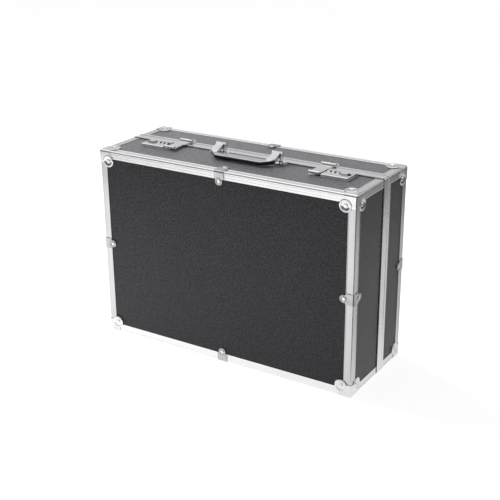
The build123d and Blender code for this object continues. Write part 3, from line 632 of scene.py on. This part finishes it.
@dataclass
class Foam:
    """The case's foam: floor, lane dividers, spacers, liners and lid pad."""

    liner_thick: float = 4.0 * MM
    end_gap: float = 0.3 * MM
    lane_count: int = 4
    divider_thick: float = 6.0 * MM
    spacer_x: tuple = (-80.0 * MM, 80.0 * MM)
    spacer_thick: float = 5.0 * MM
    edge_round: float = 1.0 * MM
    lane_margin: float = 5.0 * MM
    scoop_slope: float = 2.0 * MM
    scoop_depth: float = 1.2 * MM
    crate_pitch: float = 27.0 * MM
    crate_wave: float = 7.5 * MM
    crate_steps: int = 6
    crate_rim: float = 2.0 * MM
    crate_calming: float = 18.0
    notch_radius: float = 14.0 * MM
    notch_steps: int = 8
    snug: float = 0.9
    loose: float = 0.85

    def __post_init__(self) -> None:
        """Work out the lanes from the frame, and make the foam's finish."""
        self.finish = CaseFoam().material()
        self.floor_low, self.floor_high = (Vector(p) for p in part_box("base_floor_pad"))
        self.lane_low_z = self.floor_low.z + self.liner_thick
        room = self.floor_high.z - self.liner_thick - self.lane_low_z
        self.lane_pitch = (room + self.divider_thick) / self.lane_count
        self.lane_width = self.lane_pitch - self.divider_thick

    def pad(self, bm: bmesh.types.BMesh, node: str, body: str) -> None:
        """Make a foam piece that stands for a CAD node.

        Args:
            bm: The foam's shape.
            node: The node it replaces.
            body: The body that carries it.
        """
        piece = make_piece(f"{node}_foam", bm, self.finish, body)
        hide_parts(node)

    def base_floor(self) -> None:
        """Lay the floor pad, with a shallow scoop along each lane."""
        bm = bmesh.new()
        add_block(bm, self.floor_low, self.floor_high, self.edge_round)
        face = self._upward(bm)[0]
        long_edges = [e for e in face.edges if abs(e.verts[0].co.x - e.verts[1].co.x) < MM]
        cuts = self.lane_count - 1
        bmesh.ops.subdivide_edges(bm, edges=long_edges, cuts=cuts, use_grid_fill=True)
        lanes = self._upward(bm)[: self.lane_count]
        bmesh.ops.inset_individual(bm, faces=lanes, thickness=self.lane_margin, depth=0.0)
        lanes = self._upward(bm)[: self.lane_count]
        bmesh.ops.inset_individual(
            bm, faces=lanes, thickness=self.scoop_slope, depth=-self.scoop_depth
        )
        self.pad(bm, "base_floor_pad", "base_shell")

    @staticmethod
    def _upward(bm: bmesh.types.BMesh) -> list:
        """Return the faces that look out of the open base, the largest first.

        Args:
            bm: The bmesh with the faces.

        Returns:
            The faces.
        """
        faces = [f for f in bm.faces if f.normal.y > 0.99]
        return sorted(faces, key=lambda f: f.calc_area(), reverse=True)

    def dividers(self) -> None:
        """Stand the lane dividers, each with thumb notches in its edge."""
        low, high = (Vector(p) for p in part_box("lane_dividers"))
        bm = bmesh.new()
        for i in range(1, self.lane_count):
            z_low = self.lane_low_z + i * self.lane_pitch - self.divider_thick
            z_high = z_low + self.divider_thick
            self._notched_wall(bm, low, high, z_low, z_high)
        self.pad(bm, "lane_dividers", "base_shell")

    def _notched_wall(
        self, bm: bmesh.types.BMesh, low: Vector, high: Vector, z_low: float, z_high: float
    ) -> None:
        """Add one divider with round notches in its upper edge.

        Args:
            bm: The bmesh that receives it.
            low: The lowest corner of the dividers' box.
            high: The highest corner of the dividers' box.
            z_low: The wall's lower side.
            z_high: The wall's upper side.
        """
        outline = [bm.verts.new((low.x, low.y, z_low)), bm.verts.new((high.x, low.y, z_low))]
        outline.append(bm.verts.new((high.x, high.y, z_low)))
        span = self.spacer_x[1] - self.spacer_x[0]
        for x in (span, 0.0, -span):
            for step in range(self.notch_steps + 1):
                turn = math.pi * step / self.notch_steps
                reach = self.notch_radius * math.cos(turn)
                sink = self.notch_radius * math.sin(turn)
                outline.append(bm.verts.new((x + reach, high.y - sink, z_low)))
        outline.append(bm.verts.new((low.x, high.y, z_low)))
        wall = bm.faces.new(outline)
        made = bmesh.ops.extrude_face_region(bm, geom=[wall])["geom"]
        moved = [v for v in made if isinstance(v, bmesh.types.BMVert)]
        bmesh.ops.translate(bm, vec=(0.0, 0.0, z_high - z_low), verts=moved)
        rims = [
            e
            for e in bm.edges
            if abs(e.verts[0].co.z - e.verts[1].co.z) < TOUCHING
            and min(abs(e.verts[0].co.z - z_low), abs(e.verts[0].co.z - z_high)) < TOUCHING
        ]
        bmesh.ops.bevel(
            bm,
            geom=rims,
            offset=self.edge_round,
            segments=2,
            profile=0.5,
            affect="EDGES",
            material=-1,
            clamp_overlap=True,
        )

    def spacers(self) -> None:
        """Stand the loose spacers that part each lane."""
        low, high = (Vector(p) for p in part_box("lane_spacers"))
        bm = bmesh.new()
        half = self.spacer_thick / 2
        for i in range(self.lane_count):
            z_low = self.lane_low_z + i * self.lane_pitch + self.end_gap
            z_high = z_low + self.lane_width - 2 * self.end_gap
            for x in self.spacer_x:
                corner_low = Vector((x - half, low.y, z_low))
                corner_high = Vector((x + half, high.y, z_high))
                add_block(bm, corner_low, corner_high, self.edge_round)
        self.pad(bm, "lane_spacers", "base_shell")

    def liners(self, node: str, body: str, low_end: float, high_end: float) -> None:
        """Line the four walls of one shell.

        Args:
            node: The liners' CAD node.
            body: The body that carries them.
            low_end: The end of the lower liner along the depth.
            high_end: The end of the other liners along the depth.
        """
        low, high = (Vector(p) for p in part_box(node))
        inner_low_z = low.z + self.liner_thick
        inner_high_z = high.z - self.liner_thick
        near, far = (low.y, high_end) if body == "base_shell" else (high_end, high.y)
        low_near, low_far = (low.y, low_end) if body == "base_shell" else (low_end, high.y)
        end_low_z = inner_low_z + self.end_gap
        end_high_z = inner_high_z - self.end_gap
        bm = bmesh.new()
        for corner_low, corner_high in (
            ((low.x, near, inner_high_z), (high.x, far, high.z)),
            ((low.x, low_near, low.z), (high.x, low_far, inner_low_z)),
            ((low.x, near, end_low_z), (low.x + self.liner_thick, far, end_high_z)),
            ((high.x - self.liner_thick, near, end_low_z), (high.x, far, end_high_z)),
        ):
            add_block(bm, Vector(corner_low), Vector(corner_high), self.edge_round)
        self.pad(bm, node, body)

    def lid_pad(self) -> None:
        """Press the egg-crate pad into the lid."""
        low, high = (Vector(p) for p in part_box("lid_foam_pad"))
        size = high - low
        columns = round(size.x / self.crate_pitch)
        rows = round(size.z / self.crate_pitch)
        bm = bmesh.new()
        bmesh.ops.create_grid(
            bm, x_segments=columns * self.crate_steps, y_segments=rows * self.crate_steps, size=0.5
        )
        bmesh.ops.rotate(bm, matrix=Matrix.Rotation(math.pi / 2, 3, "X"), verts=bm.verts)
        for vert in bm.verts:
            across, up = vert.co.x + 0.5, vert.co.z + 0.5
            edge = min(across, 1.0 - across, up, 1.0 - up)
            calm = min(1.0, edge * self.crate_calming)
            wave = math.cos(FULL_TURN * columns * across) * math.cos(FULL_TURN * rows * up)
            crest = self.crate_wave * (0.5 - 0.5 * wave * calm) + (1.0 - calm) * self.crate_rim
            vert.co = Vector((low.x + across * size.x, low.y + crest, low.z + up * size.z))
        made = bmesh.ops.extrude_face_region(bm, geom=list(bm.faces))["geom"]
        for vert in (v for v in made if isinstance(v, bmesh.types.BMVert)):
            vert.co.y = high.y
        self.pad(bm, "lid_foam_pad", "lid_shell")

    def build(self) -> None:
        """Make all the foam."""
        rail_low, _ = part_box("base_hinge_rail")
        _, lid_rail_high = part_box("lid_hinge_rail")
        _, base_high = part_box("base_side_liners")
        lid_low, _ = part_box("lid_side_liners")
        self.base_floor()
        self.liners("base_side_liners", "base_shell", rail_low[1] - self.end_gap, base_high[1])
        self.dividers()
        self.spacers()
        self.lid_pad()
        self.liners("lid_side_liners", "lid_shell", lid_rail_high[1] + self.end_gap, lid_low[1])


@dataclass
class DialDigits:
    """The numbers on the rims of the lock dials."""

    digit_size: float = 2.9 * MM
    paint_rise: float = 0.05 * MM
    digit_count: int = 10
    first_turn: float = math.radians(9.0)
    slice_step: float = 0.25 * MM
    slice_reach: int = 5
    stroke_growth: float = 0.05 * MM
    shapes: dict = field(default_factory=dict)

    def digit_shape(self, digit: int) -> bpy.types.Mesh:
        """Return one number as a flat mesh centred on the origin.

        Args:
            digit: The number.

        Returns:
            The mesh, reading along +X.
        """
        if digit not in self.shapes:
            curve = bpy.data.curves.new(f"digit_{digit}", "FONT")
            curve.body = str(digit)
            curve.size = self.digit_size
            curve.align_x = "CENTER"
            curve.align_y = "CENTER"
            curve.resolution_u = 3
            curve.offset = self.stroke_growth
            curve.extrude = self.paint_rise
            holder = bpy.data.objects.new(f"digit_{digit}", curve)
            flat = bpy.data.meshes.new_from_object(holder)
            bpy.data.objects.remove(holder)
            self.shapes[digit] = self.sliced(flat)
        return self.shapes[digit]

    def sliced(self, mesh: bpy.types.Mesh) -> bpy.types.Mesh:
        """Cut a number into thin strips, so that it can bend.

        Args:
            mesh: The flat number.

        Returns:
            The same mesh with the cuts.
        """
        bm = bmesh.new()
        bm.from_mesh(mesh)
        bmesh.ops.remove_doubles(bm, verts=bm.verts, dist=TOUCHING)
        for step in range(-self.slice_reach, self.slice_reach + 1):
            everything = [*bm.verts, *bm.edges, *bm.faces]
            height = Vector((0.0, step * self.slice_step, 0.0))
            bmesh.ops.bisect_plane(bm, geom=everything, plane_co=height, plane_no=(0.0, 1.0, 0.0))
        bm.to_mesh(mesh)
        bm.free()
        return mesh

    @staticmethod
    def bend(verts: list, radius: float, turn: float) -> None:
        """Wrap a flat number round a rim.

        Args:
            verts: The number's vertices.
            radius: The rim's radius.
            turn: The place of the number's middle round the rim.
        """
        for vert in verts:
            angle = vert.co.y / radius + turn
            reach = radius + vert.co.z
            vert.co = Vector((vert.co.x, reach * math.sin(angle), reach * math.cos(angle)))

    def build(self, side: Side, index: int, paint: bpy.types.Material) -> None:
        """Print the numbers round one dial.

        Args:
            side: The lock.
            index: The dial's number, from 1.
            paint: The paint's material.
        """
        name = f"{side.name.lower()}_{index}"
        low, high = (Vector(p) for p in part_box(f"lock_dial_{name}"))
        middle = (low + high) / 2
        radius = (high.z - low.z) / 2
        bm = bmesh.new()
        for digit in range(self.digit_count):
            bm.from_mesh(self.digit_shape(digit))
            turn = self.first_turn + FULL_TURN * digit / self.digit_count
            fresh = [vert for vert in bm.verts if not vert.tag]
            self.bend(fresh, radius, turn)
            bmesh.ops.translate(bm, vec=middle, verts=fresh)
            for vert in fresh:
                vert.tag = True
        make_piece(f"dial_digits_{name}", bm, paint, f"dial_{name}")


@dataclass(frozen=True)
class Lamp:
    """One square lamp that looks at the case and that no metal mirrors."""

    name: str
    place: tuple
    size: float
    power: float

    def hang(self, target: Vector) -> None:
        """Hang the lamp so that it looks at a point.

        Args:
            target: The point.
        """
        data = bpy.data.lights.new(self.name, "AREA")
        data.size = self.size
        data.energy = self.power
        obj = bpy.data.objects.new(self.name, data)
        obj.location = self.place
        obj.visible_glossy = False
        aim = target - Vector(self.place)
        obj.rotation_euler = aim.to_track_quat("-Z", "Y").to_euler()
        bpy.context.scene.collection.objects.link(obj)


@dataclass
class Studio:
    """The camera, the floor and the light.

    Each list of stops pairs a position from 0 to 1 with a grey level. The
    axes are level directions, seen from above.
    """

    camera_place: tuple = (0.88535, -1.39297, 0.83167)
    camera_turn: tuple = (1.194, 0.0084, 0.5626)
    focal_length: float = 72.83
    sensor_width: float = 36.0
    view_reach: float = 50.0

    away: tuple = (-0.5334, 0.8458)
    wall_lift: float = 0.3
    wall_stops: tuple = ((0.0, 0.10), (0.22, 0.14), (0.34, 0.36), (0.95, 0.67))
    upper_stops: tuple = ((0.20, 0.0), (0.27, 0.5))
    gap_stops: tuple = ((0.0, 1.0), (0.50, 1.0), (0.53, 0.15), (0.6, 0.15))
    roof_stops: tuple = ((0.60, 0.0), (0.66, 1.0))
    roof_glow: float = 1.1
    tilt: float = 0.3
    tilt_range: tuple = (0.85, 1.15)
    soft_stops: tuple = ((0.2, 0.3), (0.85, 1.0))
    shade_stops: tuple = ((0.45, 1.0), (0.85, 0.15))

    floor_half: float = 4.0
    parting_y: float = 2.5 * MM
    fade_axis: tuple = (0.8458, 0.5334)
    corner_axis: tuple = (0.846, -0.533)
    side_axis: tuple = (0.533, 0.846)
    glow_stops: tuple = (
        (0.25, 1.3),
        (0.5, 1.04),
        (0.56, 0.97),
        (0.70, 0.68),
        (0.91, 0.62),
        (1.0, 0.25),
    )
    rim_stops: tuple = ((0.66, 1.0), (0.78, 0.2))
    flag_taper: float = 2.2
    flag_stops: tuple = ((0.26, 1.0), (0.34, 0.08))
    floor_white: float = 0.93
    floor_grey: tuple = (0.12, 0.12, 0.12, 1.0)
    bounce_grey: tuple = (0.8, 0.8, 0.8, 1.0)

    lamp_target: tuple = (0.0, 0.0, 0.17)
    lamps: tuple = (
        Lamp("key_lamp", (-1.5, -1.3, 2.2), 1.6, 10.0),
        Lamp("top_lamp", (-0.95, 0.2, 1.25), 0.8, 98.0),
    )

    def camera(self) -> None:
        """Place the camera as the photograph was taken."""
        data = bpy.data.cameras.new("camera")
        data.lens = self.focal_length
        data.sensor_width = self.sensor_width
        data.sensor_fit = "HORIZONTAL"
        data.clip_end = self.view_reach
        obj = bpy.data.objects.new("camera", data)
        obj.location = self.camera_place
        obj.rotation_euler = self.camera_turn
        bpy.context.scene.collection.objects.link(obj)
        bpy.context.scene.camera = obj

    def world(self) -> None:
        """Surround the case with light.

        The camera sees white. Polished metal sees a wall that is dark on
        the camera's side, a bright roof and a dark gap between them. All
        else is lit softly from behind, and least from the right.
        """
        world = bpy.data.worlds.new("studio")
        bpy.context.scene.world = world
        g = Graph(world)
        seen, mirrored = g.ray("Is Camera Ray"), g.ray("Is Glossy Ray")
        direction = g.add("ShaderNodeTexCoord", {}, {}, "Generated")
        x, y, z = (
            g.add("ShaderNodeSeparateXYZ", {}, {"Vector": direction}, axis)
            for axis in ("X", "Y", "Z")
        )
        back = x * self.away[0] + y * self.away[1]
        left = x * (-self.away[1]) + y * self.away[0]
        wall = g.ramp(back + self.wall_lift, self.wall_stops)
        wall = wall.at_least(g.ramp(z, self.upper_stops))
        low, high = self.tilt_range
        tilt = (1.0 + left * back.at_least(0.0) * self.tilt).at_least(low).at_most(high)
        roof = g.ramp(z, self.roof_stops) * self.roof_glow
        metal = wall * g.ramp(z, self.gap_stops) * tilt + roof
        shade = g.ramp(x * 0.5 + 0.5, self.shade_stops)
        soft = g.ramp(back * 0.5 + 0.5, self.soft_stops) * shade
        level = soft + mirrored * (metal - soft)
        lit = g.add("ShaderNodeBackground", {}, {"Color": WHITE, "Strength": level})
        backdrop = g.add("ShaderNodeBackground", {}, {"Color": WHITE, "Strength": 1.0})
        sky = g.add("ShaderNodeMixShader", {}, {0: seen, 1: lit, 2: backdrop})
        g.add("ShaderNodeOutputWorld", {}, {"Surface": sky})

    def floor_material(self) -> bpy.types.Material:
        """Return a white floor that keeps the case's shadow.

        In polished metal it shows brightest on the camera's left and fades
        to the right, as a table lit from the left does. Past the table's
        rim the room is dark, and so is a black flag off the near corner,
        which draws the dark lines in the folds of the corner caps.

        Returns:
            The floor's material.
        """
        g = Graph.material("studio_floor")
        seen, mirrored = g.ray("Is Camera Ray"), g.ray("Is Glossy Ray")
        point = g.add("ShaderNodeTexCoord", {}, {}, "Object")
        settings = {"operation": "DOT_PRODUCT"}
        along, outward, across = (
            g.add("ShaderNodeVectorMath", settings, {0: point, 1: (*axis, 0.0)}, "Value")
            for axis in (self.fade_axis, self.corner_axis, self.side_axis)
        )
        reach = g.add("ShaderNodeVectorMath", {"operation": "LENGTH"}, {0: point}, "Value")
        glow = g.ramp(along * 0.5 + 0.5, self.glow_stops)
        rim = g.ramp(reach * 0.5, self.rim_stops)
        flag = g.ramp(outward - across.magnitude() * self.flag_taper, self.flag_stops)
        shown = g.add("ShaderNodeEmission", {}, {"Color": WHITE, "Strength": self.floor_white})
        paint = g.add("ShaderNodeBsdfDiffuse", {}, {"Color": self.floor_grey})
        bright = g.add("ShaderNodeAddShader", {}, {0: shown, 1: paint})
        table = g.add("ShaderNodeEmission", {}, {"Color": WHITE, "Strength": glow * rim * flag})
        plain = g.add("ShaderNodeBsdfDiffuse", {}, {"Color": self.bounce_grey})
        unseen = g.add("ShaderNodeMixShader", {}, {0: mirrored, 1: plain, 2: table})
        mixed = g.add("ShaderNodeMixShader", {}, {0: seen, 1: unseen, 2: bright})
        g.add("ShaderNodeOutputMaterial", {}, {"Surface": mixed})
        return g.owner

    def floor_half_plane(self, name: str, y_low: float, y_high: float) -> bpy.types.Object:
        """Return one half of the floor.

        Args:
            name: The object's name.
            y_low: The near edge.
            y_high: The far edge.

        Returns:
            The floor object.
        """
        bm = bmesh.new()
        bmesh.ops.create_grid(bm, x_segments=1, y_segments=1, size=1.0)
        size = Vector((self.floor_half, (y_high - y_low) / 2, 1.0))
        bmesh.ops.scale(bm, vec=size, verts=bm.verts)
        bmesh.ops.translate(bm, vec=Vector((0.0, (y_low + y_high) / 2, 0.0)), verts=bm.verts)
        mesh = bpy.data.meshes.new(name)
        bm.to_mesh(mesh)
        bm.free()
        obj = bpy.data.objects.new(name, mesh)
        bpy.context.scene.collection.objects.link(obj)
        return obj

    def floor(self) -> None:
        """Lay the floor in two halves that meet under the hinge.

        The far half swings away with the lid, so that the open lid, which
        then hangs lower than the case's foot, stays in sight.
        """
        material = self.floor_material()
        near = self.floor_half_plane("floor_near", -self.floor_half, self.parting_y)
        far = self.floor_half_plane("floor_far", self.parting_y, self.floor_half)
        for half in (near, far):
            half.data.materials.append(material)
        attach(far, "lid_shell")

    def build(self) -> None:
        """Set up the whole studio."""
        self.camera()
        self.world()
        self.floor()
        for lamp in self.lamps:
            lamp.hang(Vector(self.lamp_target))
        bpy.context.scene.view_settings.view_transform = "Standard"


@dataclass
class Finishes:
    """The finishes of the CAD nodes."""

    laminate: PebbleLaminate = PebbleLaminate()
    chrome: BrightPlate = BrightPlate()
    nickel: BrightPlate = BrightPlate(
        "nickel_steel", (0.72, 0.72, 0.71, 1.0), (0.56, 0.56, 0.55, 1.0), 0.16, 0.16
    )
    clip: BrightPlate = BrightPlate(
        "clip_steel", (0.52, 0.52, 0.525, 1.0), (0.40, 0.40, 0.405, 1.0), 0.12, 0.12
    )
    dial: BrightPlate = BrightPlate(
        "dial_metal", (0.80, 0.80, 0.79, 1.0), (0.55, 0.55, 0.54, 1.0), 0.22, 0.20
    )
    # Painted shade: the lock plates are painted black below the case's face, where the well lies
    # in shade.
    plate: LacqueredPlate = LacqueredPlate("lock_plating")
    # Painted reflection: the grip's front is painted black between two heights, for the dark top
    # panel mirrored in it.
    grip: LacqueredPlate = LacqueredPlate(
        "grip_plate", (0.60, 0.60, 0.61, 1.0), (0.48, 0.48, 0.49, 1.0), 0.07, 0.08
    )
    grip_lacquer: tuple = (0.5 * MM, 6.4 * MM)

    def build(self) -> None:
        """Give every CAD node its finish, the first one that its name fits."""
        laminate = self.laminate.material()
        # One aluminium per direction: lighter and darker copies with painted light.
        bars = {run: SatinAluminium(run).material() for run in Run}
        chrome = self.chrome.material()
        nickel = self.nickel.material()
        clip = self.clip.material()
        # The grip's painted reflection band, in heights above the bail's foot.
        bail_low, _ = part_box("handle_bail")
        low, high = (bail_low[2] + rise for rise in self.grip_lacquer)
        grip = replace(self.grip, lacquer_low=low, lacquer_high=high).material()
        dial = self.dial.material()
        plate = self.plate.material()
        foam = CaseFoam("hidden_foam").material()
        looks = {
            "*_board": laminate,
            "*depth_profiles": bars[Run.DEPTH],
            "*left_profile": bars[Run.HEIGHT],
            "*right_profile": bars[Run.HEIGHT],
            "*band": bars[Run.ROUND],
            "*tongue": bars[Run.ROUND],
            "*profile": bars[Run.LENGTH],
            "*rail": bars[Run.LENGTH],
            "*pad": foam,
            "*liners": foam,
            "*dividers": foam,
            "*spacers": foam,
            "lock_dial*": dial,
            "*edge_clips": clip,
            "handle_bail": grip,
            "lock_plate*": plate,
            "*leaf*": nickel,
            "*pin*": nickel,
            "*axle*": nickel,
            "*": chrome,
        }
        for node in NODES:
            dress(node, next(look for names, look in looks.items() if fnmatchcase(node, names)))


def main() -> None:
    """Build the case's looks and the studio."""
    logging.basicConfig(level=logging.INFO, format="%(name)s: %(message)s")
    Studio().build()
    Finishes().build()
    Foam().build()
    digits = DialDigits()
    paint = DigitPaint().material()
    for side in Side:
        for index in (1, 2, 3):
            digits.build(side, index, paint)


if __name__ == "__main__":
    main()
